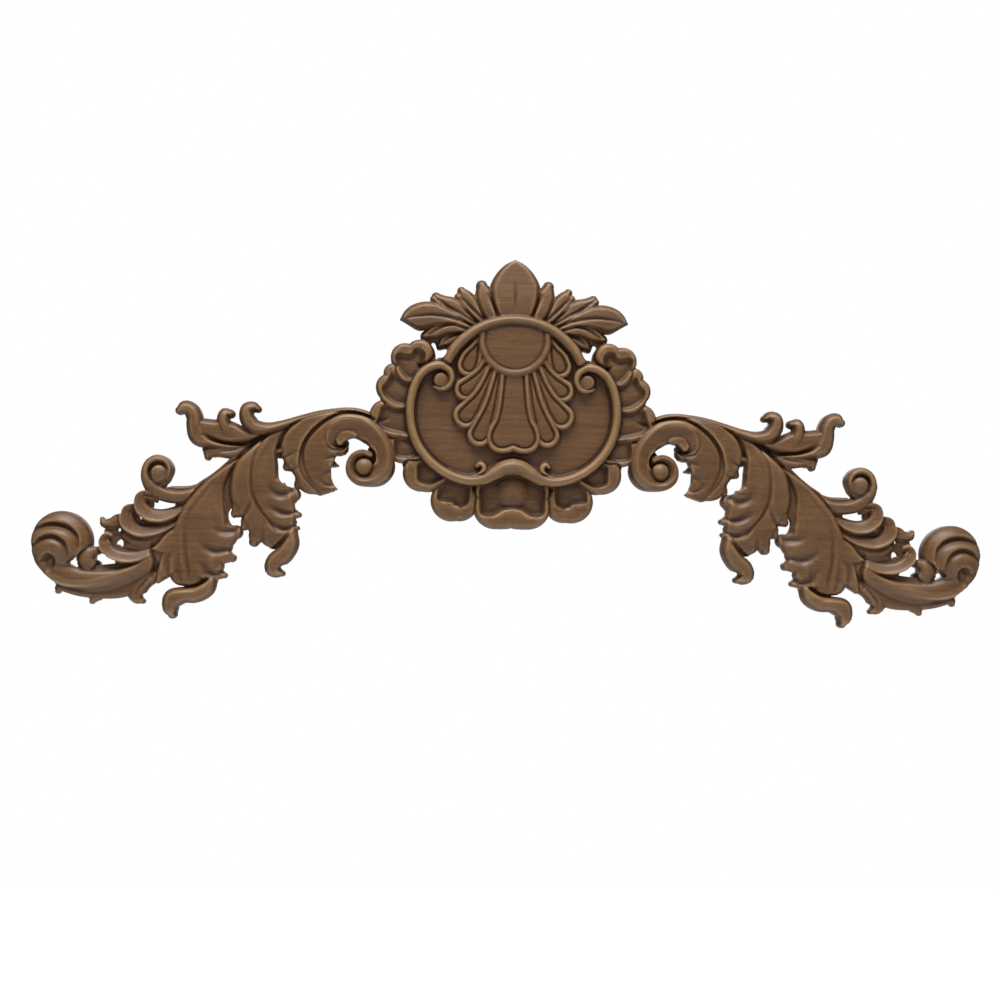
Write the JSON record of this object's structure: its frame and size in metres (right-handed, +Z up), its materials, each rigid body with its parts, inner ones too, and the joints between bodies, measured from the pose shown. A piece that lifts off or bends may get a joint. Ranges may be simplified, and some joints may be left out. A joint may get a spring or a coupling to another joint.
{
  "type": "carved wood applique",
  "caption": "Carved wood applique with a fluted shell cartouche, leafy crest and symmetric wings of acanthus scrolls on a flat back.",
  "frame": {"origin": "on the flat back, at the middle of the cartouche's shell field on the piece's mirror line", "axes": "+X along the wings to the viewer's right, +Z up towards the leafy crest, the carving faces -Y and the flat back faces +Y"},
  "size_m": [0.5996, 0.0184, 0.2314],
  "materials": {
    "wood": "stained and waxed, satin, darker in the hollows"
  },
  "bodies": {
    "root": {"carved_applique": "wood"}
  },
  "joints": []
}
